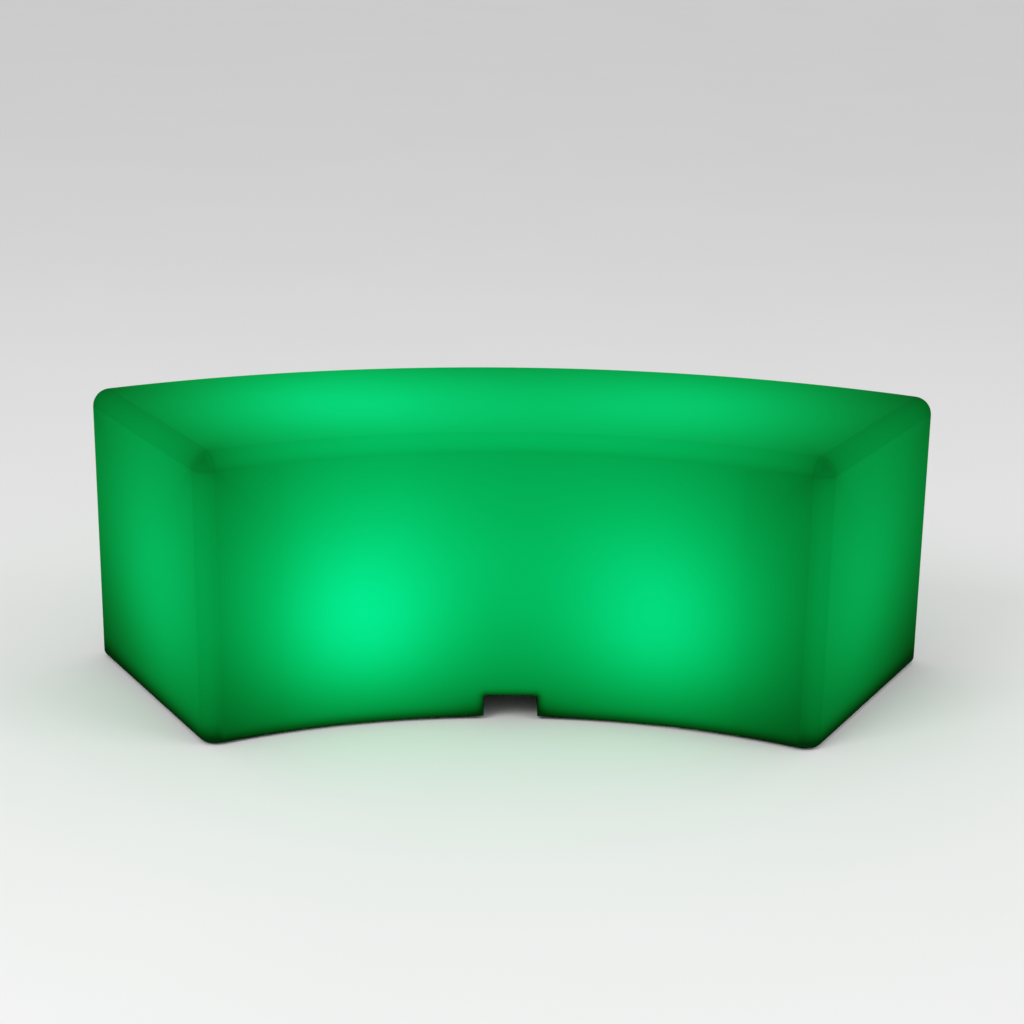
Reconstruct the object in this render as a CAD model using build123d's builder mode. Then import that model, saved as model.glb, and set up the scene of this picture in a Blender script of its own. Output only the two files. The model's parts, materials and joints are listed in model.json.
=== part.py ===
from build123d import *

import math
import os

# Glow bench: a hollow translucent ring segment with two rechargeable lamp units in its base.
# Millimetres. +Z is up, the concave side faces -Y, and the origin is the middle of the
# bench's footprint at floor level.

# Bench body: a moulded segment of a ring. Six of them close a full circle.
seat_height = 400.0
seat_depth = 400.0
inner_radius = 800.0
half_angle = 30.0
wall = 5.0
edge_radius = 25.0
base_edge_radius = 8.0

# Cable slot at the middle of the concave side, and the duct that joins it to both lamp wells
slot_width = 73.0
slot_height = 36.0
slot_corner_radius = 4.0
duct_width = 60.0
slot_shoulder_width = 113.0
slot_shoulder_height = 3.0
slot_shoulder_reach = 60.0

# Lamp wells in the underside
well_offset = 250.0
well_radius = 102.0
opening_radius = 80.0

# Threaded inserts moulded into bosses of the body
insert_radius = 4.0
insert_length = 11.0
insert_thread_radius = 2.0
insert_groove_depth = 0.5
insert_groove_start = 4.4
insert_groove_length = 2.2
boss_wall = 5.0
boss_cap = 4.0

# Rubber feet, seated in dimples of the underside
foot_radius = 18.0
foot_thickness = 5.0
foot_proud = 2.0
foot_chamfer = 0.8
foot_rim_clearance = 0.5
foot_screw_head_radius = 4.5
foot_screw_head_height = 2.6
foot_screw_set_back = 0.6
foot_screw_length = 11.0
foot_inset = 50.0
corner_foot_angle = 26.0
middle_foot_angle = 9.0

# Vent plug in the underside
vent_y = 130.0
vent_hole_radius = 5.0
vent_head_radius = 9.0
vent_head_thickness = 1.5
vent_head_chamfer = 0.6
vent_barb_radius = 5.6
vent_barb_length = 3.0
vent_barb_taper = 12.0
vent_bore_radius = 1.5

# Lamp tray: the screwed cover that carries the lamp's works
gasket_thickness = 2.0
gasket_width = 17.0
flange_clearance = 2.0
flange_thickness = 4.0
flange_chamfer = 0.8
tray_clearance = 4.0
tray_wall = 3.0
tray_floor = 3.5
tray_height = 32.0
rim_width = 11.0
rim_thickness = 3.0
cover_screw_count = 8
cover_screw_length = 14.0
cover_screw_head_radius = 4.0
cover_screw_head_height = 2.4

# Light dome over the tray
dome_wall = 2.5
dome_straight = 13.0
dome_rise = 24.0
dome_inset = 1.0
dome_shoulder_radius = 7.0
dome_flange_thickness = 3.0
seal_thickness = 1.0
dome_screw_count = 6
dome_boss_radius = 4.2
dome_screw_length = 12.0
dome_screw_depth = 11.0

# Light board and its diodes
led_board_radius = 55.0
led_board_thickness = 1.6
led_post_count = 4
led_post_inset = 5.0
led_post_radius = 3.5
led_board_screw_length = 9.0
led_board_screw_depth = 10.4
led_size = 5.0
led_height = 1.6
led_lens_radius = 1.9
led_lens_depth = 0.4
led_ring_inset = 17.0
led_ring_pitch = 18.0
led_ring_counts = (16, 8)

# Battery, held down by a bracket over a foam pad
cell_radius = 9.6
battery_width = 38.0
battery_length = 69.0
battery_edge_radius = 1.0
battery_clearance = 0.5
foam_width = 18.0
foam_thickness = 1.2
bracket_thickness = 2.0
bracket_width = 12.0
bracket_foot = 8.0
bracket_bend_radius = 0.8

# Control board and what is soldered to it
control_board_gap = 3.5
control_board_width = 26.0
control_board_length = 60.0
control_board_thickness = 1.6
control_hole_inset = 3.5
connector_length = 10.0
connector_width = 8.0
connector_height = 6.0
connector_edge_radius = 0.6
inner_connector_y = 9.0
outer_connector_inset = 2.0
chip_size = 7.0
chip_height = 1.0
coil_size = 8.0
coil_height = 4.0
coil_edge_radius = 1.6
chip_offset = 6.0
capacitor_radius = 3.5
capacitor_height = 9.0
capacitor_inset = 5.0

# Standoffs of the tray's floor, and the small screws used inside the lamp
standoff_height = 6.0
standoff_radius = 3.0
standoff_hole_depth = 5.5
small_thread_radius = 1.5
small_head_radius = 2.6
small_head_height = 1.8
tray_screw_length = 6.0

# Push switch and charging socket, side by side in the tray's floor
panel_offset = 50.0
panel_spread = 18.0
barrel_above_floor = 12.0
hole_clearance = 0.3

# Push switch
switch_barrel_radius = 8.0
switch_bezel_radius = 11.0
switch_bezel_height = 3.0
switch_bezel_chamfer = 0.8
switch_chamber_radius = 6.4
switch_nut_size = 22.0
switch_nut_height = 3.5
button_radius = 5.0
button_clearance = 0.3
button_proud = 2.5
button_travel = 1.5
button_length = 10.0
button_edge_radius = 0.8
button_collar_width = 1.0
button_collar_thickness = 1.2

# Charging socket and its tethered cap
socket_barrel_radius = 5.5
socket_collar_radius = 7.5
socket_collar_height = 3.3
socket_bore_radius = 2.8
socket_bore_depth = 9.5
socket_pin_radius = 1.05
socket_pin_set_back = 1.0
socket_nut_size = 14.0
socket_nut_height = 2.5
strap_thickness = 1.2
strap_width = 7.0
strap_ring_radius = 10.5
cap_wall = 1.7
cap_end = 1.6
cap_end_chamfer = 0.8
cap_clearance = 0.4
cap_gap = 0.3
cap_hinge_reach = 13.5
cap_tab_length = 2.5
cap_tab_width = 5.0

# Wires inside the lamp
wire_radius = 1.5
wire_bend_radius = 5.0
wire_lead_in = 7.5
wire_lane = 5.0
upper_wire_drop = 3.9

# Shared fits: what is pressed or seated, and what a screw passes through
seat_gap = 0.05
screw_clearance = 0.3

# Proportions of a button-head screw: rounding, hex recess and point
head_rounding = 0.45
recess_width = 0.5
recess_depth = 0.6
point_chamfer = 0.25

# Plan of the bench body
outer_radius = inner_radius + seat_depth
corner_circle = inner_radius + edge_radius
corner_angle = half_angle - math.degrees(math.asin(edge_radius / corner_circle))
front_reach = corner_circle * math.cos(math.radians(corner_angle)) - edge_radius
curve_centre_y = -(front_reach + outer_radius) / 2
slot_front_y = curve_centre_y + inner_radius
base_z = foot_proud
foot_seat_z = foot_thickness
boss_radius = insert_radius + boss_wall
insert_hole_radius = insert_radius + seat_gap

# Heights and radii in a lamp unit
flange_radius = well_radius - flange_clearance
flange_top = slot_height - gasket_thickness
flange_bottom = flange_top - flange_thickness
floor_top = flange_bottom + tray_floor
cover_screw_circle = flange_radius - gasket_width / 2
tray_radius = opening_radius - tray_clearance
tray_top = flange_bottom + tray_height
rim_radius = tray_radius - rim_width
dome_screw_circle = tray_radius - rim_width / 2
dome_bottom = tray_top + seal_thickness
dome_flange_top = dome_bottom + dome_flange_thickness
dome_radius = rim_radius - dome_inset
led_board_top = tray_top
led_board_bottom = led_board_top - led_board_thickness
led_post_circle = led_board_radius - led_post_inset
battery_top = floor_top + 2 * cell_radius
foam_top = battery_top + foam_thickness
bracket_top = foam_top + bracket_thickness
standoff_top = floor_top + standoff_height
bracket_leg_x = battery_width / 2 + battery_clearance + bracket_thickness
bracket_screw_x = bracket_leg_x + bracket_foot / 2
control_board_near_x = bracket_leg_x + bracket_foot + control_board_gap
control_board_far_x = control_board_near_x + control_board_width
control_board_top = standoff_top + control_board_thickness
connector_top = control_board_top + connector_height
connector_middle_z = control_board_top + connector_height / 2
inner_connector_x = control_board_near_x + connector_length / 2
outer_connector_x = control_board_far_x - outer_connector_inset - connector_length / 2
barrel_top = floor_top + barrel_above_floor
upper_wire_z = led_board_bottom - upper_wire_drop
screw_radius = insert_thread_radius - seat_gap
screw_hole_radius = insert_thread_radius + screw_clearance
small_screw_radius = small_thread_radius - seat_gap
small_hole_radius = small_thread_radius + screw_clearance

# Heights of the switch, the socket and the cap
bezel_bottom = flange_bottom - switch_bezel_height
button_bottom = bezel_bottom - button_proud
button_top = button_bottom + button_length
chamber_top = button_top + button_travel + button_clearance
strap_bottom = flange_bottom - strap_thickness
collar_bottom = strap_bottom - socket_collar_height
cap_rim_z = strap_bottom - cap_gap
hinge_z = cap_rim_z - strap_thickness / 2

# Planes: the curve's centre, both wells, the switch, the socket and the cap's hinge line
curve = Plane(origin=(0, curve_centre_y, 0))
wells = {
    "left": Plane(origin=(-well_offset, 0, 0), x_dir=(-1, 0, 0), z_dir=(0, 0, 1)),
    "right": Plane(origin=(well_offset, 0, 0), x_dir=(1, 0, 0), z_dir=(0, 0, 1)),
}
switch = Plane(origin=(-panel_offset, panel_spread, 0))
socket = Plane(origin=(-panel_offset, -panel_spread, 0))
hinge_y = -panel_spread - cap_hinge_reach

os.makedirs("parts", exist_ok=True)


def keep(builder, name):
    """Labels a finished piece and writes it as one STEP file."""
    builder.part.label = name
    export_step(builder.part, f"parts/{name}.step")


def keep_pair(builder, name):
    """Sets a piece of the lamp unit in both wells and writes each one."""
    for side, well in wells.items():
        with BuildPart() as placed:
            with Locations(well.location):
                add(builder.part)
        keep(placed, f"{side}_{name}")


def polar(radius, degrees_from_y):
    """A point round the curve's centre, at an angle measured from +Y."""
    angle = math.radians(degrees_from_y)
    return (radius * math.sin(angle), radius * math.cos(angle))


def sphere_height(radius, sphere_radius):
    """How high a sphere's surface stands over its centre, at a radius from the axis."""
    return math.sqrt(sphere_radius**2 - radius**2)


def screw_group(spots, head_radius, head_height, radius, length):
    """Button-head screws with a hex recess, each with its shank along a spot's +Z."""
    with BuildPart() as screw:
        with BuildSketch():
            Circle(head_radius)
        extrude(amount=-head_height)
        fillet(screw.faces().sort_by(Axis.Z)[0].edges(), head_height * head_rounding)
        with BuildSketch():
            Circle(radius)
        extrude(amount=length)
        chamfer(screw.faces().sort_by(Axis.Z)[-1].edges(), radius * point_chamfer)
        with BuildSketch(Plane.XY.offset(-head_height)):
            RegularPolygon(head_radius * recess_width, 6)
        extrude(amount=head_height * recess_depth, mode=Mode.SUBTRACT)
    with BuildPart() as group:
        with Locations(*spots):
            add(screw.part)
    return group


def insert_group(spots):
    """Threaded inserts with a knurl groove, each with its mouth at a spot."""
    with BuildPart() as insert:
        with BuildSketch():
            Circle(insert_radius)
            Circle(insert_thread_radius, mode=Mode.SUBTRACT)
        extrude(amount=insert_length)
        with BuildSketch(Plane.XY.offset(insert_groove_start)):
            Circle(insert_radius)
            Circle(insert_radius - insert_groove_depth, mode=Mode.SUBTRACT)
        extrude(amount=insert_groove_length, mode=Mode.SUBTRACT)
    with BuildPart() as group:
        with Locations(*spots):
            add(insert.part)
    return group


def ring_spots(radius, count, first_angle, z, downwards=False):
    """Spots evenly spaced round the lamp's axis, looking up or down."""
    turn = 180 if downwards else 0
    angles = [math.radians(first_angle + 360 * i / count) for i in range(count)]
    return [Location((radius * math.cos(a), radius * math.sin(a), z), (turn, 0, 0)) for a in angles]


def segment_body(inset, low, high):
    """The ring segment drawn in by inset on every side, with its rounded edges."""
    near = inner_radius + inset
    far = outer_radius - inset
    near_angle = half_angle - math.degrees(math.asin(inset / near))
    far_angle = half_angle - math.degrees(math.asin(inset / far))
    with BuildPart() as body:
        with BuildSketch(curve.offset(low)):
            with BuildLine():
                inside = ThreePointArc(polar(near, -near_angle), (0, near), polar(near, near_angle))
                outside = ThreePointArc(polar(far, far_angle), (0, far), polar(far, -far_angle))
                Line(inside @ 1, outside @ 0)
                Line(outside @ 1, inside @ 0)
            make_face()
        extrude(amount=high - low)
        fillet(body.edges().filter_by(Axis.Z), edge_radius - inset)
        fillet(body.faces().sort_by(Axis.Z)[-1].edges(), edge_radius - inset)
        fillet(body.faces().sort_by(Axis.Z)[0].edges(), base_edge_radius - inset)
    return body.part


def underside_recess(grow):
    """The slot, the duct and both wells as one body, made larger by grow on every side."""
    front = slot_front_y - wall - grow
    back = duct_width / 2 + grow
    low = base_z - wall
    high = slot_height + grow
    with BuildPart() as recess:
        with BuildSketch(Plane(origin=(0, (front + back) / 2, low))):
            Rectangle(slot_width + 2 * grow, back - front)
        extrude(amount=high - low)
        fillet(
            recess.faces().sort_by(Axis.Z)[-1].edges().filter_by(Axis.Y),
            slot_corner_radius + grow,
        )
        with BuildSketch(Plane.XY.offset(low)):
            Rectangle(2 * well_offset, duct_width + 2 * grow)
            with Locations((-well_offset, 0), (well_offset, 0)):
                Circle(well_radius + grow)
        extrude(amount=high - low)
    return recess.part


def shoulder_recess(grow):
    """The shallow step in the underside on both sides of the slot."""
    with BuildPart() as recess:
        with BuildSketch(Plane(origin=(0, slot_front_y, base_z - wall))):
            Rectangle(slot_shoulder_width + 2 * grow, 2 * (slot_shoulder_reach + grow))
        extrude(amount=wall + slot_shoulder_height + grow)
    return recess.part


def discs(spots, radius, height):
    """Upright cylinders that stand on the given spots."""
    with BuildPart() as group:
        with Locations(*spots):
            Cylinder(radius, height, align=(Align.CENTER, Align.CENTER, Align.MIN))
    return group.part


# Where the feet and the cover screws go
corner_points = [
    polar(radius, side * corner_foot_angle)
    for radius in (inner_radius + foot_inset, outer_radius - foot_inset)
    for side in (-1, 1)
]
middle_points = [polar(outer_radius - foot_inset, side * middle_foot_angle) for side in (-1, 1)]
foot_points = [(x, y + curve_centre_y) for x, y in corner_points + middle_points]
foot_seats = [Location((x, y, foot_seat_z)) for x, y in foot_points]
cover_angle = 180 / cover_screw_count
cover_seats = [
    well.location * spot
    for well in wells.values()
    for spot in ring_spots(cover_screw_circle, cover_screw_count, cover_angle, slot_height)
]
opening_seats = [well.location * Location((0, 0, slot_height)) for well in wells.values()]
insert_seats = foot_seats + cover_seats

# The sealed air space inside the bench body
with BuildPart() as hollow:
    add(segment_body(wall, base_z + wall, seat_height - wall))
    add(underside_recess(wall), mode=Mode.SUBTRACT)
    add(shoulder_recess(wall), mode=Mode.SUBTRACT)
    add(discs(insert_seats, boss_radius, insert_length + boss_cap), mode=Mode.SUBTRACT)
    add(discs(foot_seats, foot_radius + foot_rim_clearance + wall, wall), mode=Mode.SUBTRACT)

# Bench body
foot_dimples = [Location((x, y, base_z)) for x, y in foot_points]
with BuildPart() as bench_shell:
    add(segment_body(0, base_z, seat_height))
    add(hollow.part, mode=Mode.SUBTRACT)
    add(underside_recess(0), mode=Mode.SUBTRACT)
    add(shoulder_recess(0), mode=Mode.SUBTRACT)
    add(discs(opening_seats, opening_radius, wall), mode=Mode.SUBTRACT)
    add(discs(insert_seats, insert_hole_radius, insert_length + seat_gap), mode=Mode.SUBTRACT)
    add(
        discs(foot_dimples, foot_radius + foot_rim_clearance, foot_seat_z - base_z),
        mode=Mode.SUBTRACT,
    )
    add(discs([Location((0, vent_y, base_z))], vent_hole_radius, wall), mode=Mode.SUBTRACT)
keep(bench_shell, "bench_shell")

# Inserts moulded into the body
cover_inserts = insert_group(cover_seats)
keep(cover_inserts, "cover_inserts")

foot_inserts = insert_group(foot_seats)
keep(foot_inserts, "foot_inserts")

# Rubber foot pads, each with a sunk hole for its screw
foot_counterbore = foot_screw_head_height + foot_screw_set_back
with BuildPart() as foot_pad:
    with BuildSketch():
        Circle(foot_radius)
    extrude(amount=foot_thickness)
    chamfer(foot_pad.faces().sort_by(Axis.Z)[0].edges(), foot_chamfer)
    with BuildSketch():
        Circle(foot_screw_head_radius + screw_clearance)
    extrude(amount=foot_counterbore, mode=Mode.SUBTRACT)
    with BuildSketch():
        Circle(screw_hole_radius)
    extrude(amount=foot_thickness, mode=Mode.SUBTRACT)

front_spots = [Location((x, y, 0)) for x, y in foot_points if y < slot_front_y]
back_spots = [Location((x, y, 0)) for x, y in foot_points if y > slot_front_y]
for name, spots in (("front_feet", front_spots), ("back_feet", back_spots)):
    with BuildPart() as feet:
        with Locations(*spots):
            add(foot_pad.part)
    keep(feet, name)

foot_screws = screw_group(
    [Location((x, y, foot_counterbore)) for x, y in foot_points],
    foot_screw_head_radius,
    foot_screw_head_height,
    screw_radius,
    foot_screw_length,
)
keep(foot_screws, "foot_screws")

# Vent plug: it lets the air in the body breathe
with BuildPart() as vent_plug:
    with BuildSketch(Plane(origin=(0, vent_y, base_z))):
        Circle(vent_head_radius)
    extrude(amount=-vent_head_thickness)
    chamfer(vent_plug.faces().sort_by(Axis.Z)[0].edges(), vent_head_chamfer)
    with BuildSketch(Plane(origin=(0, vent_y, base_z))):
        Circle(vent_hole_radius - seat_gap)
    extrude(amount=wall + seat_gap)
    with BuildSketch(Plane(origin=(0, vent_y, base_z + wall + seat_gap))):
        Circle(vent_barb_radius)
    extrude(amount=vent_barb_length, taper=vent_barb_taper)
    with BuildSketch(Plane(origin=(0, vent_y, base_z - vent_head_thickness))):
        Circle(vent_bore_radius)
    extrude(amount=vent_head_thickness + wall + vent_barb_length + seat_gap, mode=Mode.SUBTRACT)
keep(vent_plug, "vent_plug")

# Screws that hold both lamp trays under the body
cover_screws = screw_group(
    [seat * Location((0, 0, flange_bottom - slot_height)) for seat in cover_seats],
    cover_screw_head_radius,
    cover_screw_head_height,
    screw_radius,
    cover_screw_length,
)
keep(cover_screws, "cover_screws")

# Where screws go in a lamp unit, seen from its own axis
dome_spots = ring_spots(dome_screw_circle, dome_screw_count, 0, dome_flange_top, True)
led_post_angle = 180 / led_post_count
led_post_spots = ring_spots(led_post_circle, led_post_count, led_post_angle, led_board_top, True)
control_hole_xs = (control_board_near_x + control_hole_inset, control_board_far_x - control_hole_inset)
control_hole_y = control_board_length / 2 - control_hole_inset
control_points = [(x, side * control_hole_y) for x in control_hole_xs for side in (-1, 1)]
bracket_points = [(-bracket_screw_x, 0), (bracket_screw_x, 0)]

# Lamp tray: flange, cup with a rim, and the standoffs inside it
with BuildPart() as lamp_tray:
    with BuildSketch(Plane.XY.offset(flange_bottom)):
        Circle(flange_radius)
    extrude(amount=flange_thickness)
    chamfer(lamp_tray.faces().sort_by(Axis.Z)[0].edges(), flange_chamfer)
    with BuildSketch(Plane.XY.offset(flange_bottom)):
        Circle(tray_radius)
    extrude(amount=tray_height)
    with BuildSketch(Plane.XY.offset(floor_top)):
        Circle(tray_radius - tray_wall)
    extrude(amount=tray_top - floor_top, mode=Mode.SUBTRACT)
    with BuildSketch(Plane.XY.offset(tray_top - rim_thickness)):
        Circle(tray_radius - tray_wall / 2)
        Circle(rim_radius, mode=Mode.SUBTRACT)
    extrude(amount=rim_thickness)
    with BuildSketch(Plane.XY.offset(floor_top)):
        with PolarLocations(dome_screw_circle, dome_screw_count):
            Circle(dome_boss_radius)
    extrude(amount=tray_top - floor_top)
    with BuildSketch(Plane.XY.offset(floor_top)):
        with PolarLocations(led_post_circle, led_post_count, led_post_angle):
            Circle(led_post_radius)
    extrude(amount=led_board_bottom - floor_top)
    with BuildSketch(Plane.XY.offset(floor_top)):
        with Locations(*(control_points + bracket_points)):
            Circle(standoff_radius)
    extrude(amount=standoff_height)
    with BuildSketch(Plane.XY.offset(tray_top)):
        with PolarLocations(dome_screw_circle, dome_screw_count):
            Circle(small_thread_radius)
    extrude(amount=-dome_screw_depth, mode=Mode.SUBTRACT)
    with BuildSketch(Plane.XY.offset(led_board_bottom)):
        with PolarLocations(led_post_circle, led_post_count, led_post_angle):
            Circle(small_thread_radius)
    extrude(amount=-led_board_screw_depth, mode=Mode.SUBTRACT)
    with BuildSketch(Plane.XY.offset(standoff_top)):
        with Locations(*(control_points + bracket_points)):
            Circle(small_thread_radius)
    extrude(amount=-standoff_hole_depth, mode=Mode.SUBTRACT)
    with BuildSketch(Plane.XY.offset(flange_bottom)):
        with PolarLocations(cover_screw_circle, cover_screw_count, cover_angle):
            Circle(screw_hole_radius)
        with Locations((-panel_offset, panel_spread)):
            Circle(switch_barrel_radius + hole_clearance)
        with Locations((-panel_offset, -panel_spread)):
            Circle(socket_barrel_radius + hole_clearance)
    extrude(amount=flange_thickness, mode=Mode.SUBTRACT)
keep_pair(lamp_tray, "lamp_tray")

# Gasket between the tray's flange and the body
with BuildPart() as tray_gasket:
    with BuildSketch(Plane.XY.offset(flange_top)):
        Circle(flange_radius)
        Circle(flange_radius - gasket_width, mode=Mode.SUBTRACT)
        with PolarLocations(cover_screw_circle, cover_screw_count, cover_angle):
            Circle(screw_hole_radius, mode=Mode.SUBTRACT)
    extrude(amount=gasket_thickness)
keep_pair(tray_gasket, "tray_gasket")

# Seal between the tray's rim and the dome
with BuildPart() as dome_seal:
    with BuildSketch(Plane.XY.offset(tray_top)):
        Circle(tray_radius)
        Circle(rim_radius, mode=Mode.SUBTRACT)
        with PolarLocations(dome_screw_circle, dome_screw_count):
            Circle(small_hole_radius, mode=Mode.SUBTRACT)
    extrude(amount=seal_thickness)
keep_pair(dome_seal, "dome_seal")

# Light dome: a straight wall under part of a sphere
shoulder_z = dome_bottom + dome_straight
dome_top = shoulder_z + dome_rise
dome_sphere = (dome_radius**2 + dome_rise**2) / (2 * dome_rise)
dome_centre_z = dome_top - dome_sphere
inner_dome_radius = dome_radius - dome_wall
inner_dome_sphere = dome_sphere - dome_wall
inner_shoulder_z = dome_centre_z + sphere_height(inner_dome_radius, inner_dome_sphere)
outer_half = (dome_radius / 2, dome_centre_z + sphere_height(dome_radius / 2, dome_sphere))
inner_half = (
    inner_dome_radius / 2,
    dome_centre_z + sphere_height(inner_dome_radius / 2, inner_dome_sphere),
)
with BuildPart() as light_dome:
    with BuildSketch(Plane.XZ):
        with BuildLine():
            Polyline(
                (inner_dome_radius, inner_shoulder_z),
                (inner_dome_radius, dome_bottom),
                (tray_radius, dome_bottom),
                (tray_radius, dome_flange_top),
                (dome_radius, dome_flange_top),
                (dome_radius, shoulder_z),
            )
            ThreePointArc((dome_radius, shoulder_z), outer_half, (0, dome_top))
            Line((0, dome_top), (0, dome_top - dome_wall))
            ThreePointArc(
                (0, dome_top - dome_wall),
                inner_half,
                (inner_dome_radius, inner_shoulder_z),
            )
        make_face()
    revolve(axis=Axis.Z)
    shoulder = light_dome.edges().filter_by(GeomType.CIRCLE).filter_by_position(
        Axis.Z, shoulder_z - seat_gap, shoulder_z + seat_gap
    )
    fillet(shoulder, dome_shoulder_radius)
    with BuildSketch(Plane.XY.offset(dome_bottom)):
        with PolarLocations(dome_screw_circle, dome_screw_count):
            Circle(small_hole_radius)
    extrude(amount=dome_flange_thickness, mode=Mode.SUBTRACT)
keep_pair(light_dome, "light_dome")

dome_screws = screw_group(
    dome_spots, small_head_radius, small_head_height, small_screw_radius, dome_screw_length
)
keep_pair(dome_screws, "dome_screws")

# Light board: a round metal board with two rings of diodes
with BuildPart() as led_board:
    with BuildSketch(Plane.XY.offset(led_board_bottom)):
        Circle(led_board_radius)
        with PolarLocations(led_post_circle, led_post_count, led_post_angle):
            Circle(small_hole_radius, mode=Mode.SUBTRACT)
    extrude(amount=led_board_thickness)
keep_pair(led_board, "led_board")

with BuildPart() as leds:
    for ring, count in enumerate(led_ring_counts):
        ring_radius = led_board_radius - led_ring_inset - ring * led_ring_pitch
        with BuildSketch(Plane.XY.offset(led_board_top)):
            with PolarLocations(ring_radius, count):
                Rectangle(led_size, led_size)
        extrude(amount=led_height)
        with BuildSketch(Plane.XY.offset(led_board_top + led_height)):
            with PolarLocations(ring_radius, count):
                Circle(led_lens_radius)
        extrude(amount=-led_lens_depth, mode=Mode.SUBTRACT)
keep_pair(leds, "leds")

led_board_screws = screw_group(
    led_post_spots, small_head_radius, small_head_height, small_screw_radius, led_board_screw_length
)
keep_pair(led_board_screws, "led_board_screws")

# Battery: two cells side by side in one sleeve
with BuildPart() as battery_pack:
    with BuildSketch(Plane.XZ):
        with Locations((0, floor_top + cell_radius)):
            SlotOverall(battery_width, 2 * cell_radius)
    extrude(amount=battery_length / 2, both=True)
    fillet(battery_pack.faces().filter_by(Axis.Y).edges(), battery_edge_radius)
keep_pair(battery_pack, "battery_pack")

with BuildPart() as battery_foam:
    with BuildSketch(Plane.XY.offset(battery_top)):
        Rectangle(foam_width, bracket_width)
    extrude(amount=foam_thickness)
keep_pair(battery_foam, "battery_foam")

# Bracket: a metal strap bent over the battery, with a foot on each side
with BuildPart() as battery_bracket:
    with BuildSketch(Plane.XZ):
        with Locations((0, (standoff_top + bracket_top) / 2)):
            Rectangle(2 * bracket_leg_x, bracket_top - standoff_top)
        with Locations((0, standoff_top + bracket_thickness / 2)):
            Rectangle(2 * (bracket_leg_x + bracket_foot), bracket_thickness)
        with Locations((0, (standoff_top + foam_top) / 2)):
            Rectangle(
                2 * (bracket_leg_x - bracket_thickness), foam_top - standoff_top, mode=Mode.SUBTRACT
            )
    extrude(amount=bracket_width / 2, both=True)
    fillet(battery_bracket.edges().filter_by(Axis.Y), bracket_bend_radius)
    with BuildSketch(Plane.XY.offset(standoff_top)):
        with Locations(*bracket_points):
            Circle(small_hole_radius)
    extrude(amount=bracket_thickness, mode=Mode.SUBTRACT)
keep_pair(battery_bracket, "battery_bracket")

# Control board with its connectors and other components
control_board_x = (control_board_near_x + control_board_far_x) / 2
with BuildPart() as control_board:
    with BuildSketch(Plane.XY.offset(standoff_top)):
        with Locations((control_board_x, 0)):
            Rectangle(control_board_width, control_board_length)
        with Locations(*control_points):
            Circle(small_hole_radius, mode=Mode.SUBTRACT)
    extrude(amount=control_board_thickness)
keep_pair(control_board, "control_board")

inner_connectors = [(inner_connector_x, side * inner_connector_y) for side in (-1, 1)]
outer_connectors = [(outer_connector_x, side * panel_spread) for side in (-1, 1)]
with BuildPart() as board_connectors:
    with BuildSketch(Plane.XY.offset(control_board_top)):
        with Locations(*(inner_connectors + outer_connectors)):
            Rectangle(connector_length, connector_width)
    extrude(amount=connector_height)
    fillet(board_connectors.edges().filter_by(Axis.Z), connector_edge_radius)
keep_pair(board_connectors, "board_connectors")

with BuildPart() as board_components:
    with BuildSketch(Plane.XY.offset(control_board_top)):
        with Locations((outer_connector_x, chip_offset)):
            Rectangle(chip_size, chip_size)
    extrude(amount=chip_height)
    with BuildSketch(Plane.XY.offset(control_board_top)):
        with Locations((outer_connector_x, -chip_offset)):
            RectangleRounded(coil_size, coil_size, coil_edge_radius)
    extrude(amount=coil_height)
    with BuildSketch(Plane.XY.offset(control_board_top)):
        with Locations((control_board_near_x + capacitor_inset, 0)):
            Circle(capacitor_radius)
    extrude(amount=capacitor_height)
keep_pair(board_components, "board_components")

tray_screws = screw_group(
    [Location((x, y, standoff_top + bracket_thickness), (180, 0, 0)) for x, y in bracket_points]
    + [Location((x, y, control_board_top), (180, 0, 0)) for x, y in control_points],
    small_head_radius,
    small_head_height,
    small_screw_radius,
    tray_screw_length,
)
keep_pair(tray_screws, "tray_screws")

# Push switch: bezel and barrel, its ring nut, and the button that slides in it
with BuildPart() as switch_body:
    with BuildSketch(switch.offset(bezel_bottom)):
        Circle(switch_bezel_radius)
    extrude(amount=switch_bezel_height)
    chamfer(switch_body.faces().sort_by(Axis.Z)[0].edges(), switch_bezel_chamfer)
    with BuildSketch(switch.offset(flange_bottom)):
        Circle(switch_barrel_radius)
    extrude(amount=barrel_top - flange_bottom)
    with BuildSketch(switch.offset(bezel_bottom)):
        Circle(button_radius + button_clearance)
    extrude(amount=switch_bezel_height, mode=Mode.SUBTRACT)
    with BuildSketch(switch.offset(flange_bottom)):
        Circle(switch_chamber_radius)
    extrude(amount=chamber_top - flange_bottom, mode=Mode.SUBTRACT)
keep_pair(switch_body, "switch_body")

with BuildPart() as switch_nut:
    with BuildSketch(switch.offset(floor_top)):
        RegularPolygon(switch_nut_size / 2, 6, major_radius=False)
        Circle(switch_barrel_radius + seat_gap, mode=Mode.SUBTRACT)
    extrude(amount=switch_nut_height)
keep_pair(switch_nut, "switch_nut")

with BuildPart() as power_button:
    with BuildSketch(switch.offset(button_bottom)):
        Circle(button_radius)
    extrude(amount=button_length)
    fillet(power_button.faces().sort_by(Axis.Z)[0].edges(), button_edge_radius)
    with BuildSketch(switch.offset(flange_bottom + button_clearance)):
        Circle(button_radius + button_collar_width)
    extrude(amount=button_collar_thickness)
keep_pair(power_button, "power_button")

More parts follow.
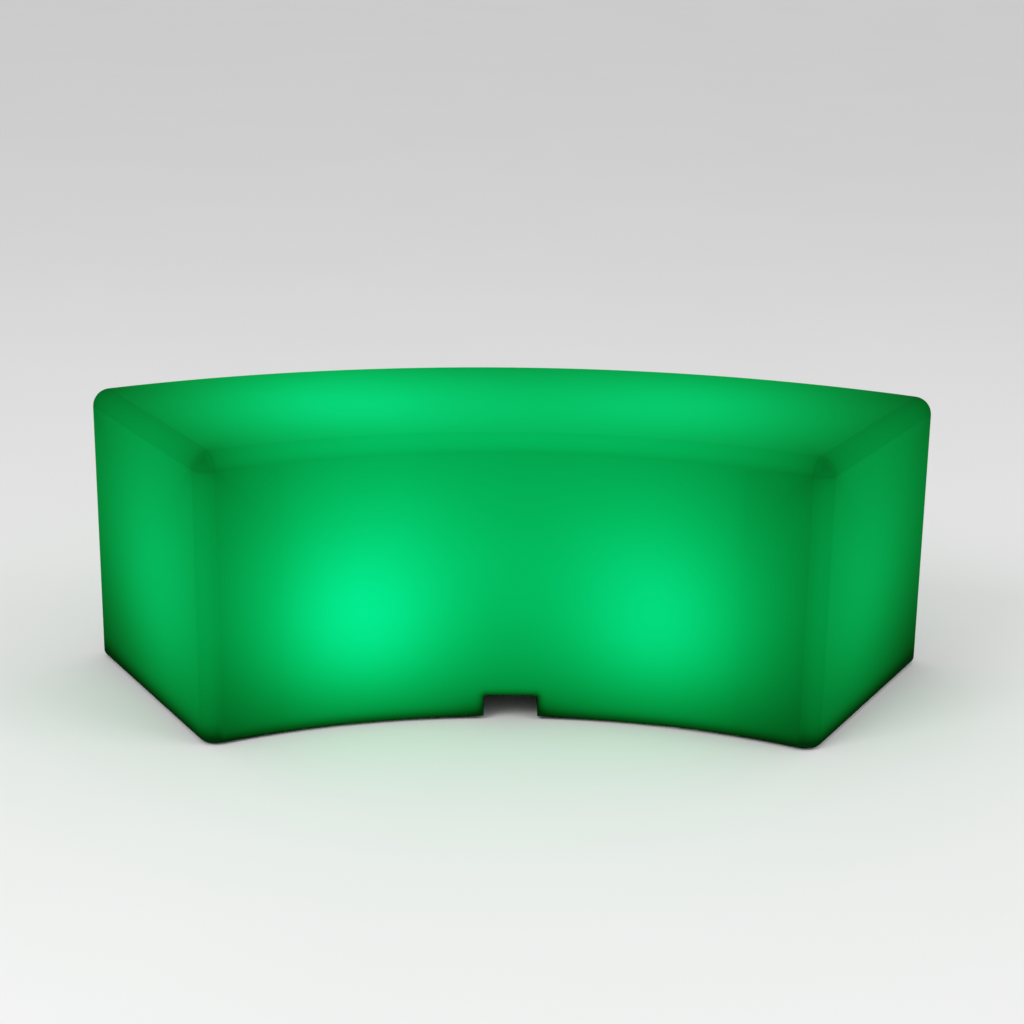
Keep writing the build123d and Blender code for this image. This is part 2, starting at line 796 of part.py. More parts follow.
# Charging socket: collar and barrel with a centre pin in its bore, and its nut
with BuildPart() as charge_socket:
    with BuildSketch(socket.offset(collar_bottom)):
        Circle(socket_collar_radius)
    extrude(amount=socket_collar_height)
    with BuildSketch(socket.offset(strap_bottom)):
        Circle(socket_barrel_radius)
    extrude(amount=barrel_top - strap_bottom)
    with BuildSketch(socket.offset(collar_bottom)):
        Circle(socket_bore_radius)
    extrude(amount=socket_bore_depth, mode=Mode.SUBTRACT)
    with BuildSketch(socket.offset(collar_bottom + socket_pin_set_back)):
        Circle(socket_pin_radius)
    extrude(amount=socket_bore_depth - socket_pin_set_back)
keep_pair(charge_socket, "charge_socket")

with BuildPart() as socket_nut:
    with BuildSketch(socket.offset(floor_top)):
        RegularPolygon(socket_nut_size / 2, 6, major_radius=False)
        Circle(socket_barrel_radius + seat_gap, mode=Mode.SUBTRACT)
    extrude(amount=socket_nut_height)
keep_pair(socket_nut, "socket_nut")

# Tether of the cap: a ring under the socket's collar, with a hooked stub at the hinge line
stub_inner_y = -(cap_hinge_reach + strap_thickness / 2 + cap_gap)
stub_outer_y = stub_inner_y - strap_thickness
with BuildPart() as cap_strap:
    with BuildSketch(socket.offset(strap_bottom)):
        Circle(strap_ring_radius)
        with Locations((0, stub_outer_y / 2)):
            Rectangle(strap_width, -stub_outer_y)
        Circle(socket_barrel_radius + hole_clearance, mode=Mode.SUBTRACT)
    extrude(amount=strap_thickness)
    with BuildSketch(socket.offset(strap_bottom)):
        with Locations((0, (stub_inner_y + stub_outer_y) / 2)):
            Rectangle(strap_width, strap_thickness)
    extrude(amount=hinge_z - strap_bottom)
keep_pair(cap_strap, "cap_strap")

# Cap: a cup over the socket's collar, its strap rounded off at the hinge line, and a pull tab
cap_inner_radius = socket_collar_radius + cap_clearance
cap_radius = cap_inner_radius + cap_wall
cap_bottom = collar_bottom - cap_gap - cap_end
with BuildPart() as socket_cap:
    with BuildSketch(socket.offset(cap_rim_z)):
        Circle(cap_radius)
        with Locations((0, -cap_hinge_reach / 2)):
            Rectangle(strap_width, cap_hinge_reach)
        with Locations((0, (cap_radius + cap_tab_length) / 2)):
            Rectangle(cap_tab_width, cap_radius + cap_tab_length)
    extrude(amount=-strap_thickness)
    with BuildSketch(socket.offset(cap_rim_z)):
        Circle(cap_radius)
    extrude(amount=cap_bottom - cap_rim_z)
    chamfer(socket_cap.faces().sort_by(Axis.Z)[0].edges(), cap_end_chamfer)
    with BuildSketch(socket.offset(cap_rim_z)):
        Circle(cap_inner_radius)
    extrude(amount=collar_bottom - cap_gap - cap_rim_z, mode=Mode.SUBTRACT)
    with BuildSketch(Plane(origin=(-panel_offset, hinge_y, hinge_z), z_dir=(1, 0, 0))):
        Circle(strap_thickness / 2)
    extrude(amount=strap_width / 2, both=True)
keep_pair(socket_cap, "socket_cap")


def leads(*routes):
    """Wires that run along rounded routes, as one group of separate solids."""
    with BuildPart() as group:
        for points in routes:
            with BuildLine() as route:
                FilletPolyline(*points, radius=wire_bend_radius)
            with BuildSketch(Plane(origin=route.line @ 0, z_dir=route.line % 0)):
                Circle(wire_radius)
            sweep(path=route.line)
    return group


# Leads: battery and light board to the inner connectors, switch and socket to the outer ones
lane_x = bracket_leg_x + wire_lane
battery_lead_x = cell_radius
battery_lead_y = battery_length / 2 + wire_lead_in
battery_lead = leads(
    [
        (battery_lead_x, battery_length / 2, connector_middle_z),
        (battery_lead_x, battery_lead_y, connector_middle_z),
        (lane_x, battery_lead_y, connector_middle_z),
        (lane_x, inner_connector_y, connector_middle_z),
        (control_board_near_x, inner_connector_y, connector_middle_z),
    ]
)
keep_pair(battery_lead, "battery_lead")

lamp_lead = leads(
    [
        (lane_x, -inner_connector_y, led_board_bottom),
        (lane_x, -inner_connector_y, connector_middle_z),
        (control_board_near_x, -inner_connector_y, connector_middle_z),
    ]
)
keep_pair(lamp_lead, "lamp_lead")

panel_leads = leads(
    *[
        [
            (-panel_offset, y, barrel_top),
            (-panel_offset, y, upper_wire_z),
            (outer_connector_x, y, upper_wire_z),
            (outer_connector_x, y, connector_top),
        ]
        for y in (panel_spread, -panel_spread)
    ]
)
keep_pair(panel_leads, "panel_leads")
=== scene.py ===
import json
import math

import bmesh
import bpy
from mathutils import Matrix, Vector


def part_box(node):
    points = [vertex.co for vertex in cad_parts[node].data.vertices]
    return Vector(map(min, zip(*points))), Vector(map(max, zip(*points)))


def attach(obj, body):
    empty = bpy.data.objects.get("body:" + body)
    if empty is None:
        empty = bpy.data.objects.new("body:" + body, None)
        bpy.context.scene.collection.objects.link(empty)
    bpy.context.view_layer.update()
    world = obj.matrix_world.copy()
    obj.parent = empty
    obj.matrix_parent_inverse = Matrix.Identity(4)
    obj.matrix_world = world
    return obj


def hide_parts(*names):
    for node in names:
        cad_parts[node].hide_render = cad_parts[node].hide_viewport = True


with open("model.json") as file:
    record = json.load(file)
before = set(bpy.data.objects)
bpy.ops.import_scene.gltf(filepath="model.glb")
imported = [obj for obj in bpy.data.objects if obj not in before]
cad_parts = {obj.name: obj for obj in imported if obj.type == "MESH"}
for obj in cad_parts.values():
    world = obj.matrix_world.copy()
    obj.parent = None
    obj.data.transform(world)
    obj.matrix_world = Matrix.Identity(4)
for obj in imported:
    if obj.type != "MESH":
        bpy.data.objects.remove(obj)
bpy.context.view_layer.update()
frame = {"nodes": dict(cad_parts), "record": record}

# The bench's plan, in metres and radians: six such segments close a ring
half_angle = math.radians(30)
edge_radius = 0.025
seat_depth = 0.4
outer_radius = 1.2
inner_radius = outer_radius - seat_depth
shell_low, shell_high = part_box("bench_shell")
seat_height = shell_high[2]
curve_y = shell_high[1] - outer_radius

# Mesh of the body: doubled points, the band kept at its foot, and how near the true skin a point lies
weld_distance = 0.000001
foot_band = 0.01
skin_tolerance = 0.001
least_agreement = 0.7

# Studio: light of the surround, and how bright the surround looks
sky_level = 0.75
horizon_level = 0.6
floor_half = 15.0
lamps_aim = (0.0, 0.0, 0.2)

# Camera, where the photograph was taken from
camera_place = Vector((-0.027, -2.9436, 1.1856))
camera_yaw = 0.0092
camera_pitch = -0.3080
camera_roll = 0.0126
camera_lens = 77.91
sensor_width = 36.0
camera_reach = 60.0

# Glow: painted light of two lamps under the seat, seen through the wall of the body. Most values of its
# formula, here and in the groups on painted shade and on the slot, were fitted to the brightness in the
# photograph.
lamp_spots = (Vector((-0.2522, 0.014, 0.0848)), Vector((0.2457, 0.014, 0.0831)))
lamp_powers = (0.8377, 0.6866)
lamp_unit = 0.2
lamp_spread = 0.708
facing_power = 0.4083
least_facing = 0.0001
ambient = -0.0134
ambient_rise = 0.0432
ambient_outward = -0.0268
blue_low = 0.09
blue_rise = 0.285

# Painted shade at the roundings and corners, which dims the painted glow; a step is how far the skin turns
# before a rounding's shade is full
end_edge_shade = 0.1178
end_edge_step = 0.0727
side_edge_shade = 0.0532
side_edge_step = 0.1
side_dip_shade = 0.0331
side_dip_turn = 0.194
side_dip_width = 0.196
upright_edge_shade = 0.1037
upright_end_step = 0.33
upright_side_step = 0.2157
corner_step = 0.2835
corner_shade = 0.5326
corner_reach = 0.0269
patch_shade = 0.1772
patch_step = 0.3348
patch_depth = 0.0174
patch_fade = 0.0053

# Painted shade: the seat dims towards its ends, and all walls towards the floor
seat_end_shade = 0.2352
seat_end_reach = 0.1297
floor_reach = 0.0131
floor_reach_more = 0.0074
floor_step = 0.3

# Painted glow of the underside, which fades away from the lamp wells
tray_low, tray_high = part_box("right_lamp_tray")
well_offset = (tray_low[0] + tray_high[0]) / 2
well_radius = 0.102
underside_glow = 0.13
underside_reach = 0.07
underside_top = 0.012
underside_step = 0.005

# Body plastic, and what it reflects of the studio's light
body_base = (0.001, 0.03, 0.004)
reflected_green = 0.031
reflected_blue = 0.0045
cloud_scale = 9.0
cloud_depth = 0.06

# Cable slot: no painted glow inside it, and painted shade dims the wall round it and on both sides of it
slot_half_width = 0.0365
slot_height = 0.036
slot_corner_radius = 0.004
slot_start = 0.0036
slot_reach = 0.0079
beside_shade = 0.816
beside_reach = 0.0388
beside_height = 0.028
beside_depth = 0.01
recess_depth = 0.001
recess_depth_more = 0.008
recess_step = 0.004
recess_top = 0.06
recess_blend = 0.01


class Field:
    """A value in a node tree that reads as a plain number in formulas."""

    def __init__(self, tree, socket):
        self.tree = tree
        self.socket = socket

    def apply(self, operation, *others, clamp=False):
        node = self.tree.nodes.new("ShaderNodeMath")
        node.operation = operation
        node.use_clamp = clamp
        for slot, value in enumerate((self,) + others):
            if isinstance(value, Field):
                self.tree.links.new(value.socket, node.inputs[slot])
            else:
                node.inputs[slot].default_value = value
        return Field(self.tree, node.outputs[0])

    def __add__(self, other):
        return self.apply("ADD", other)

    def __sub__(self, other):
        return self.apply("SUBTRACT", other)

    def __mul__(self, other):
        return self.apply("MULTIPLY", other)

    def __truediv__(self, other):
        return self.apply("DIVIDE", other)

    def __pow__(self, other):
        return self.apply("POWER", other)

    def at_least(self, other):
        return self.apply("MAXIMUM", other)

    def at_most(self, other):
        return self.apply("MINIMUM", other)

    def size(self):
        return self.apply("ABSOLUTE")

    def clamped(self):
        return self.apply("MULTIPLY", 1.0, clamp=True)

    def rest(self):
        """What is left of one."""
        return self.apply("MULTIPLY_ADD", -1.0, 1.0)

    def fading(self, reach):
        """One at zero, less and less as the value grows past the reach."""
        return (self * (-1.0 / reach)).apply("EXPONENT")

    def bell(self, reach):
        """One at zero, with a round top and a long skirt on both sides."""
        return (self * self * (-1.0 / reach ** 2)).apply("EXPONENT")

    def ramp(self, width):
        """None at zero, and one from the width on."""
        return (self * (1.0 / width)).clamped()


def fields(tree, socket):
    """The X, Y and Z of a vector socket, for formulas."""
    split = tree.nodes.new("ShaderNodeSeparateXYZ")
    tree.links.new(socket, split.inputs[0])
    return [Field(tree, split.outputs[axis]) for axis in range(3)]


def surface(name, base, roughness, metallic=0.0, specular=0.5):
    """A material with one shader; returns the material, its tree and its shader."""
    material = bpy.data.materials.new(name)
    material.use_nodes = True
    tree = material.node_tree
    shader = tree.nodes["Principled BSDF"]
    shader.inputs["Base Color"].default_value = (*base, 1.0)
    shader.inputs["Roughness"].default_value = roughness
    shader.inputs["Metallic"].default_value = metallic
    shader.inputs["Specular IOR Level"].default_value = specular
    return material, tree, shader


def place(tree, stretch=(1.0, 1.0, 1.0)):
    """The piece's own coordinates, stretched."""
    coordinates = tree.nodes.new("ShaderNodeTexCoord")
    mapping = tree.nodes.new("ShaderNodeMapping")
    mapping.inputs["Scale"].default_value = stretch
    tree.links.new(coordinates.outputs["Object"], mapping.inputs["Vector"])
    return mapping.outputs["Vector"]


def noise(tree, scale, detail=2.0, stretch=(1.0, 1.0, 1.0)):
    """Cloudy noise round one half; the scale is in waves per metre."""
    texture = tree.nodes.new("ShaderNodeTexNoise")
    texture.inputs["Scale"].default_value = scale
    texture.inputs["Detail"].default_value = detail
    tree.links.new(place(tree, stretch), texture.inputs["Vector"])
    return Field(tree, texture.outputs["Fac"])


def cells(tree, scale):
    """Distance to the nearest of many scattered points, as in foam or cast skin."""
    texture = tree.nodes.new("ShaderNodeTexVoronoi")
    texture.inputs["Scale"].default_value = scale
    tree.links.new(place(tree), texture.inputs["Vector"])
    return Field(tree, texture.outputs["Distance"])


def stripes(tree, scale, direction, distortion=0.0):
    """Even bands across one direction, between 0 and 1."""
    texture = tree.nodes.new("ShaderNodeTexWave")
    texture.bands_direction = direction
    texture.inputs["Scale"].default_value = scale
    texture.inputs["Distortion"].default_value = distortion
    tree.links.new(place(tree), texture.inputs["Vector"])
    return Field(tree, texture.outputs["Fac"])


def tint(tree, shader, value, low, high):
    """Base colour that runs from low to high with a value."""
    mix = tree.nodes.new("ShaderNodeMix")
    mix.data_type = "RGBA"
    mix.inputs[6].default_value = (*low, 1.0)
    mix.inputs[7].default_value = (*high, 1.0)
    tree.links.new(value.clamped().socket, mix.inputs[0])
    tree.links.new(mix.outputs[2], shader.inputs["Base Color"])


def relief(tree, shader, height, depth, strength=1.0):
    """Bump from a value, its depth in metres."""
    node = tree.nodes.new("ShaderNodeBump")
    node.inputs["Strength"].default_value = strength
    node.inputs["Distance"].default_value = depth
    tree.links.new(height.socket, node.inputs["Height"])
    tree.links.new(node.outputs["Normal"], shader.inputs["Normal"])


def roughen(tree, shader, value, low, high):
    """Roughness that runs from low to high with a value."""
    spread = value.clamped() * (high - low) + low
    tree.links.new(spread.socket, shader.inputs["Roughness"])


def shaded(colour, factor):
    """A colour made darker or lighter."""
    return tuple(channel * factor for channel in colour)


def body_gaps(x, y, z):
    """A point's distance from the ring's axis, and from the body's inner, outer, end and top face."""
    ring_y = y - curve_y
    radius = (x * x + ring_y * ring_y).apply("SQRT")
    end_gap = ring_y * math.sin(half_angle) - x.size() * math.cos(half_angle)
    return radius, radius - inner_radius, (radius - outer_radius) * -1.0, end_gap, (z - seat_height) * -1.0


def turned(gap):
    """How squarely the skin looks one way: one on that face, none beyond its rounding."""
    return (gap * (-1.0 / edge_radius) + 1.0).clamped()


def edge_shade(end, side, top):
    """Painted shade at the roundings, as what is left of the painted glow there; each argument tells how
    squarely the skin looks that way.
    """
    elsewhere = end.at_most(side).at_most(top).ramp(corner_step).rest()
    along_end = top.ramp(side_edge_step) * end.ramp(end_edge_step) * end_edge_shade
    along_side = top.ramp(side_edge_step) * side.ramp(side_edge_step) * side_edge_shade
    dip = (top - side_dip_turn).bell(side_dip_width) * top.ramp(side_edge_step) * side.ramp(side_edge_step)
    along_side = along_side + dip * side_dip_shade
    upright = end.ramp(upright_end_step) * side.ramp(upright_side_step) * upright_edge_shade
    shades = [(shade * elsewhere).rest() for shade in (along_end, along_side, upright)]
    return shades[0] * shades[1] * shades[2]


def corner_shades(inner_gap, outer_gap, end_gap, top_gap):
    """Painted shade at the body's corners, as what is left of the painted glow there, with a darker painted
    patch on each upper one.
    """
    nearer = inner_gap.at_most(outer_gap)
    second = nearer.at_least(end_gap).at_most(inner_gap.at_least(outer_gap))
    corner = second.at_least(top_gap).at_least(0.0).fading(corner_reach) * corner_shade
    patch = turned(end_gap).ramp(patch_step) * turned(nearer).ramp(patch_step) * patch_shade
    patch = patch * (top_gap - patch_depth).at_least(0.0).bell(patch_fade)
    return corner.rest() * patch.rest()


def slot_shade(x, z, inner_gap):
    """Painted shade round the cable slot: what is left of the painted glow there."""
    across = (x.size() - slot_half_width + slot_corner_radius).at_least(0.0)
    above = (z - slot_height + slot_corner_radius).at_least(0.0)
    behind = inner_gap.at_least(0.0)
    around = ((across * across + above * above).apply("SQRT") - slot_corner_radius).at_least(0.0)
    gap = (around * around + behind * behind).apply("SQRT")
    beside = (x.size() - slot_half_width).at_least(0.0).fading(beside_reach)
    beside = beside * z.bell(beside_height) * behind.ramp(beside_depth).rest()
    return (gap + slot_start).bell(slot_reach).rest() * (beside * beside_shade).rest()


def lamp_light(spot, power, position, normal):
    """Painted light of one lamp on the wall: most of it goes up, and a wall that it grazes gets less."""
    offset = [value - centre for value, centre in zip(position, spot)]
    reach_squared = offset[0] * offset[0] + offset[1] * offset[1] + offset[2] * offset[2]
    reach = reach_squared.apply("SQRT")
    upward = (offset[2] / reach + lamp_spread).at_least(0.0)
    outward = offset[0] * normal[0] + offset[1] * normal[1] + offset[2] * normal[2]
    facing = (outward / reach).at_least(least_facing) ** facing_power
    return upward * facing * (power * lamp_unit ** 2) / reach_squared


def recess_shade(x, z, inside):
    """Painted shade on the walls behind the outer skin: no painted glow in the slot and the duct behind it.
    """
    rim = (x.size() - slot_half_width).ramp(recess_blend) * recess_depth_more + recess_depth
    low = ((z - recess_top) * -1.0).ramp(recess_blend)
    return ((inside - rim).ramp(recess_step) * low).rest()


def underside_light(x, y, z, normal):
    """Painted dim light on the bottom wall round the lamp wells."""
    across = x.size() - well_offset
    from_well = ((across * across + y * y).apply("SQRT") - well_radius).at_least(0.0)
    downward = (normal[2] * -1.0).clamped() * ((z - underside_top) * -1.0).ramp(underside_step)
    return from_well.fading(underside_reach) * downward * underside_glow


def glowing_shell():
    """Milky green polyethylene, with the light of both lamps inside it painted on as glow, and painted shade
    at its roundings, corners, slot and foot.
    """
    material, tree, shader = surface("glowing_shell", body_base, roughness=0.5, specular=0.0005)
    coordinates = tree.nodes.new("ShaderNodeTexCoord")
    position = fields(tree, coordinates.outputs["Object"])
    normal = fields(tree, coordinates.outputs["Normal"])
    x, y, z = position
    radius, inner_gap, outer_gap, end_gap, top_gap = body_gaps(x, y, z)
    nearer = inner_gap.at_most(outer_gap)
    end, side, top = turned(end_gap), turned(nearer), turned(top_gap)

    light = z * (ambient_rise / lamp_unit) + radius * (ambient_outward / lamp_unit)
    light = light + (ambient - ambient_rise - ambient_outward / lamp_unit)
    for spot, power in zip(lamp_spots, lamp_powers):
        light = light + lamp_light(spot, power, position, normal)

    # Painted shade towards the seat's ends and towards the floor
    seat_end = (top * end_gap.at_least(0.0).fading(seat_end_reach) * seat_end_shade).rest()
    low = (z / (end.ramp(floor_step) * floor_reach_more + floor_reach)).bell(1.0).rest()
    shade = edge_shade(end, side, top) * corner_shades(inner_gap, outer_gap, end_gap, top_gap)
    shade = shade * seat_end * low * slot_shade(x, z, inner_gap)

    clouds = noise(tree, cloud_scale, detail=3.0) * cloud_depth + (1.0 - cloud_depth / 2)
    shade = shade * recess_shade(x, z, nearer.at_most(end_gap)) * clouds
    seen = light * shade + underside_light(x, y, z, normal)
    green = (seen - reflected_green).clamped()
    blue = (seen * (seen * blue_rise + blue_low) - reflected_blue).clamped()
    colour = tree.nodes.new("ShaderNodeCombineColor")
    tree.links.new(green.socket, colour.inputs[1])
    tree.links.new(blue.socket, colour.inputs[2])
    tree.links.new(colour.outputs[0], shader.inputs["Emission Color"])
    shader.inputs["Emission Strength"].default_value = 1.0
    relief(tree, shader, noise(tree, scale=420.0, detail=3.0), depth=0.0001)
    return material


def rubber(name, colour):
    """Matt moulded rubber with a fine grain."""
    material, tree, shader = surface(name, colour, roughness=0.8, specular=0.35)
    tint(tree, shader, noise(tree, scale=60.0, detail=4.0), shaded(colour, 0.7), shaded(colour, 1.4))
    roughen(tree, shader, noise(tree, scale=200.0), low=0.7, high=0.9)
    relief(tree, shader, noise(tree, scale=1800.0), depth=0.00015)
    return material


def moulded(name, colour, roughness, grain):
    """Injection-moulded plastic: a fine spark-eroded grain and a faint cloudiness."""
    material, tree, shader = surface(name, colour, roughness)
    tint(tree, shader, noise(tree, scale=35.0, detail=3.0), shaded(colour, 0.9), shaded(colour, 1.05))
    roughen(tree, shader, noise(tree, scale=150.0), roughness - 0.06, roughness + 0.08)
    relief(tree, shader, noise(tree, scale=1400.0, detail=3.0), grain)
    return material


def metal(name, colour, roughness, stretch):
    """Bare metal with fine tool marks along one direction."""
    material, tree, shader = surface(name, colour, roughness, metallic=1.0)
    marks = noise(tree, scale=900.0, detail=4.0, stretch=stretch)
    tint(tree, shader, noise(tree, scale=50.0, detail=3.0), shaded(colour, 0.85), shaded(colour, 1.05))
    roughen(tree, shader, marks, roughness - 0.08, roughness + 0.12)
    relief(tree, shader, marks, depth=0.00004)
    return material


def knurled_brass():
    """Insert brass, with a diagonal knurl that the plastic grips."""
    colour = (0.78, 0.57, 0.25)
    material, tree, shader = surface("insert_brass", colour, roughness=0.32, metallic=1.0)
    tint(tree, shader, noise(tree, scale=80.0, detail=3.0), shaded(colour, 0.75), colour)
    roughen(tree, shader, noise(tree, scale=300.0), low=0.25, high=0.42)
    slanted = stripes(tree, scale=260.0, direction="DIAGONAL")
    rings = stripes(tree, scale=260.0, direction="Z")
    relief(tree, shader, slanted.at_least(rings), depth=0.0002)
    return material


def frosted_dome():
    """Frosted lens that spreads the diodes' light."""
    material, tree, shader = surface("frosted_dome", (0.8, 0.9, 0.85), roughness=0.45)
    tint(tree, shader, noise(tree, scale=40.0, detail=3.0), (0.74, 0.86, 0.8), (0.84, 0.94, 0.89))
    relief(tree, shader, noise(tree, scale=900.0, detail=3.0), depth=0.0001)
    shader.inputs["Emission Color"].default_value = (0.02, 0.8, 0.3, 1.0)
    shader.inputs["Emission Strength"].default_value = 0.8
    return material


def diode():
    """Clear resin round a lit green chip, brightest in its middle."""
    material, tree, shader = surface("diode", (0.7, 0.9, 0.7), roughness=0.2)
    tint(tree, shader, noise(tree, scale=400.0), (0.62, 0.85, 0.6), (0.78, 0.95, 0.72))
    shader.inputs["Emission Color"].default_value = (0.03, 1.0, 0.35, 1.0)
    shader.inputs["Emission Strength"].default_value = 3.0
    return material


def circuit_board(name, mask, copper):
    """Solder mask over faint copper tracks, on the grid that such tracks follow."""
    material, tree, shader = surface(name, mask, roughness=0.3)
    tracks = stripes(tree, scale=70.0, direction="X") * stripes(tree, scale=45.0, direction="Y")
    lines = ((tracks - 0.45) * 12.0).clamped()
    tint(tree, shader, lines, mask, copper)
    relief(tree, shader, lines, depth=0.00005)
    roughen(tree, shader, noise(tree, scale=120.0), low=0.25, high=0.4)
    return material


def battery_sleeve():
    """Blue film shrunk over the cells, with shallow wrinkles."""
    colour = (0.03, 0.14, 0.45)
    material, tree, shader = surface("battery_sleeve", colour, roughness=0.28)
    tint(tree, shader, noise(tree, scale=30.0, detail=3.0), shaded(colour, 0.8), shaded(colour, 1.2))
    wrinkles = stripes(tree, scale=60.0, direction="Y", distortion=6.0)
    relief(tree, shader, wrinkles, depth=0.00015, strength=0.5)
    return material


def foam():
    """Open-cell foam."""
    material, tree, shader = surface("foam", (0.1, 0.1, 0.105), roughness=0.95, specular=0.1)
    pores = cells(tree, scale=700.0)
    # Painted shade in the pores: the colour is darker where the skin dips into its cells
    tint(tree, shader, pores * 1.5, (0.03, 0.03, 0.032), (0.16, 0.16, 0.17))
    relief(tree, shader, pores, depth=0.0006)
    return material


def sheath(name, colour):
    """Extruded wire sheath, slightly glossy."""
    material, tree, shader = surface(name, colour, roughness=0.45, specular=0.4)
    tint(tree, shader, noise(tree, scale=90.0, detail=3.0), shaded(colour, 0.8), shaded(colour, 1.2))
    roughen(tree, shader, noise(tree, scale=220.0), low=0.38, high=0.55)
    relief(tree, shader, noise(tree, scale=700.0), depth=0.00008)
    return material


def make_materials():
    """One material for each of the record's material slots."""
    return {
        "glowing_shell": glowing_shell(),
        "black_rubber": rubber("black_rubber", (0.022, 0.022, 0.024)),
        "foot_rubber": rubber("foot_rubber", (0.05, 0.05, 0.054)),
        "steel": metal("steel", (0.6, 0.6, 0.61), roughness=0.3, stretch=(1.0, 1.0, 0.2)),
        "bracket_metal": metal("bracket_metal", (0.66, 0.66, 0.67), roughness=0.38, stretch=(0.1, 1.0, 1.0)),
        "insert_brass": knurled_brass(),
        "tray_plastic": moulded("tray_plastic", (0.74, 0.75, 0.74), roughness=0.5, grain=0.00012),
        "vent_plastic": moulded("vent_plastic", (0.66, 0.68, 0.67), roughness=0.55, grain=0.0001),
        "frosted_dome": frosted_dome(),
        "white_board": circuit_board("white_board", (0.85, 0.86, 0.85), (0.7, 0.71, 0.69)),
        "diode": diode(),
        "battery_sleeve": battery_sleeve(),
        "foam": foam(),
        "green_board": circuit_board("green_board", (0.01, 0.17, 0.06), (0.03, 0.28, 0.1)),
        "connector_plastic": moulded("connector_plastic", (0.8, 0.77, 0.66), roughness=0.4, grain=0.00005),
        "black_component": moulded("black_component", (0.02, 0.02, 0.022), roughness=0.45, grain=0.00008),
        "switch_metal": metal("switch_metal", (0.64, 0.64, 0.66), roughness=0.28, stretch=(1.0, 1.0, 0.1)),
        "button_metal": metal("button_metal", (0.72, 0.72, 0.73), roughness=0.22, stretch=(1.0, 1.0, 0.1)),
        "socket_plastic": moulded("socket_plastic", (0.02, 0.02, 0.023), roughness=0.42, grain=0.00008),
        "lead_red": sheath("lead_red", (0.4, 0.015, 0.015)),
        "lead_black": sheath("lead_black", (0.02, 0.02, 0.021)),
    }


def dress_nodes(materials):
    """Gives every node the material of its slot."""
    for subpart in frame["record"]["subparts"]:
        node = frame["nodes"][subpart["node"]]
        node.material_slots[0].material = materials[subpart["material_slot"]]


def skin_normal(point):
    """Outward normal of the body's outer skin at a point, or None off that skin."""
    ring = Vector((point.x, point.y - curve_y, 0.0))
    radius = ring.length
    side = math.copysign(1.0, point.x)
    end_normal = Vector((side * math.cos(half_angle), -math.sin(half_angle), 0.0))
    inner = max(edge_radius - (radius - inner_radius), 0.0)
    outer = max(edge_radius - (outer_radius - radius), 0.0)
    end = max(edge_radius + ring.dot(end_normal), 0.0)
    top = max(edge_radius - (seat_height - point.z), 0.0)
    normal = ring.normalized() * (outer - inner) + end_normal * end + Vector((0.0, 0.0, top))
    if abs(normal.length - edge_radius) > skin_tolerance:
        return None
    return normal.normalized()


def weld(mesh):
    """Joins the mesh's doubled points, which closes it, and returns its corners' normals."""
    kept = mesh.attributes.new("kept_normal", "FLOAT_VECTOR", "CORNER")
    for index, corner in enumerate(mesh.corner_normals):
        kept.data[index].vector = corner.vector
    builder = bmesh.new()
    builder.from_mesh(mesh)
    bmesh.ops.remove_doubles(builder, verts=builder.verts, dist=weld_distance)
    builder.to_mesh(mesh)
    builder.free()
    kept = mesh.attributes["kept_normal"]
    normals = [item.vector.copy() for item in kept.data]
    mesh.attributes.remove(kept)
    return normals


def stand_for(node_name, piece_name, mesh, normals, body, material):
    """A piece that stands for a node, on its body, from a closed copy of its mesh."""
    mesh.name = piece_name
    mesh.normals_split_custom_set([tuple(normal) for normal in normals])
    mesh.materials.clear()
    mesh.materials.append(material)
    piece = bpy.data.objects.new(piece_name, mesh)
    bpy.context.scene.collection.objects.link(piece)
    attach(piece, body)
    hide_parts(node_name)


def bench_body(material):
    """The moulded body, with the true normals of its faces and roundings for a clean glow."""
    mesh = frame["nodes"]["bench_shell"].data.copy()
    normals = weld(mesh)
    base_top = shell_low[2] + foot_band
    for index, loop in enumerate(mesh.loops):
        point = mesh.vertices[loop.vertex_index].co
        normal = skin_normal(point) if point.z > base_top else None
        if normal and normal.dot(normals[index]) > least_agreement:
            normals[index] = normal
    stand_for("bench_shell", "bench_body", mesh, normals, "bench", material)


def dome_lens(side, material):
    """The frosted lens of one lamp unit, closed at the corners of its roundings."""
    mesh = frame["nodes"][side + "_light_dome"].data.copy()
    normals = weld(mesh)
    stand_for(side + "_light_dome", side + "_dome_lens", mesh, normals, "bench", material)


def sheet(name, corners, material):
    """One flat face of the stage."""
    mesh = bpy.data.meshes.new(name)
    builder = bmesh.new()
    builder.faces.new([builder.verts.new(corner) for corner in corners])
    builder.to_mesh(mesh)
    builder.free()
    mesh.materials.append(material)
    item = bpy.data.objects.new(name, mesh)
    bpy.context.scene.collection.objects.link(item)


def softbox(name, spot, aim, size, power):
    """A square lamp with a soft edge to its shadows."""
    data = bpy.data.lights.new(name, "AREA")
    data.shape = "SQUARE"
    data.size = size
    data.energy = power
    lamp = bpy.data.objects.new(name, data)
    lamp.location = spot
    lamp.rotation_euler = (Vector(aim) - Vector(spot)).to_track_quat("-Z", "Y").to_euler()
    bpy.context.scene.collection.objects.link(lamp)


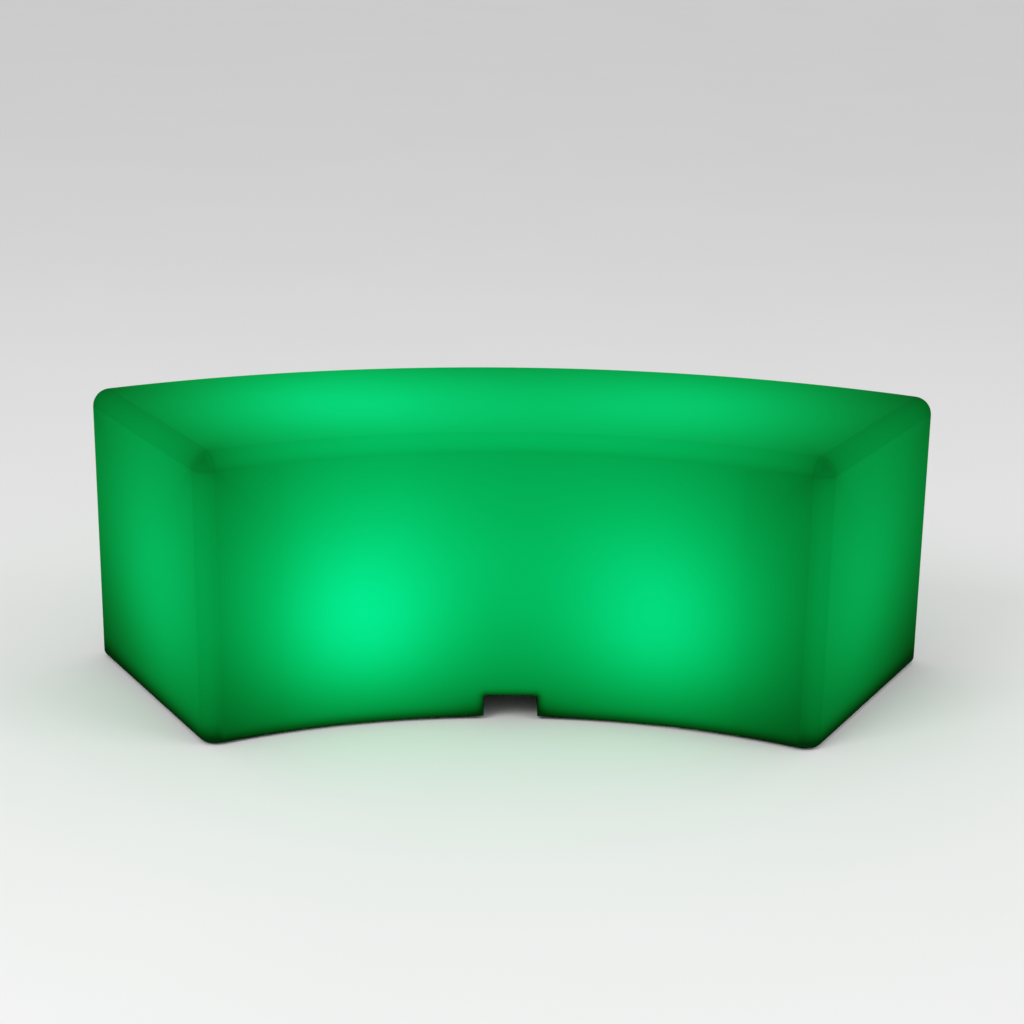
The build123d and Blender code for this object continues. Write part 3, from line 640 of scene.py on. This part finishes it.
def make_studio():
    """Pale floor, an even pale surround that looks as bright as the far floor, and two softboxes."""
    material, tree, shader = surface("studio_floor", (0.8, 0.8, 0.8), roughness=0.9, specular=0.1)
    tint(tree, shader, noise(tree, scale=1.5, detail=4.0), (0.78, 0.78, 0.78), (0.81, 0.81, 0.81))
    turns = ((-1, -1), (1, -1), (1, 1), (-1, 1))
    sheet("studio_floor", [(x * floor_half, y * floor_half, 0.0) for x, y in turns], material)
    world = bpy.data.worlds.new("studio")
    world.use_nodes = True
    tree = world.node_tree
    path = tree.nodes.new("ShaderNodeLightPath")
    rays = ("Is Camera Ray", "Is Glossy Ray", "Is Transmission Ray")
    camera, glossy, transmission = [Field(tree, path.outputs[ray]) for ray in rays]
    strength = camera.at_least(glossy).at_least(transmission) * (horizon_level - sky_level) + sky_level
    background = tree.nodes["Background"]
    background.inputs["Color"].default_value = (1.0, 1.0, 1.0, 1.0)
    tree.links.new(strength.socket, background.inputs["Strength"])
    bpy.context.scene.world = world
    softbox("key", spot=(-2.2, -2.4, 3.0), aim=lamps_aim, size=2.0, power=60.0)
    softbox("fill", spot=(2.6, -1.2, 2.4), aim=lamps_aim, size=2.0, power=25.0)


def make_camera():
    """The photograph's viewpoint, with the slight roll that it was taken at."""
    data = bpy.data.cameras.new("camera")
    data.sensor_fit = "HORIZONTAL"
    data.sensor_width = sensor_width
    data.lens = camera_lens
    data.clip_end = camera_reach
    camera = bpy.data.objects.new("camera", data)
    bpy.context.scene.collection.objects.link(camera)
    forward = Vector((
        math.sin(camera_yaw) * math.cos(camera_pitch),
        math.cos(camera_yaw) * math.cos(camera_pitch),
        math.sin(camera_pitch),
    ))
    level = Vector((math.cos(camera_yaw), -math.sin(camera_yaw), 0.0))
    upright = level.cross(forward)
    right = math.cos(camera_roll) * level + math.sin(camera_roll) * upright
    up = math.cos(camera_roll) * upright - math.sin(camera_roll) * level
    camera.matrix_world = Matrix((
        (right.x, up.x, -forward.x, camera_place.x),
        (right.y, up.y, -forward.y, camera_place.y),
        (right.z, up.z, -forward.z, camera_place.z),
        (0.0, 0.0, 0.0, 1.0),
    ))
    bpy.context.scene.camera = camera


make_camera()
make_studio()
finishes = make_materials()
dress_nodes(finishes)
bench_body(finishes["glowing_shell"])
for side in ("left", "right"):
    dome_lens(side, finishes["frosted_dome"])
bpy.context.scene.view_settings.view_transform = "Standard"
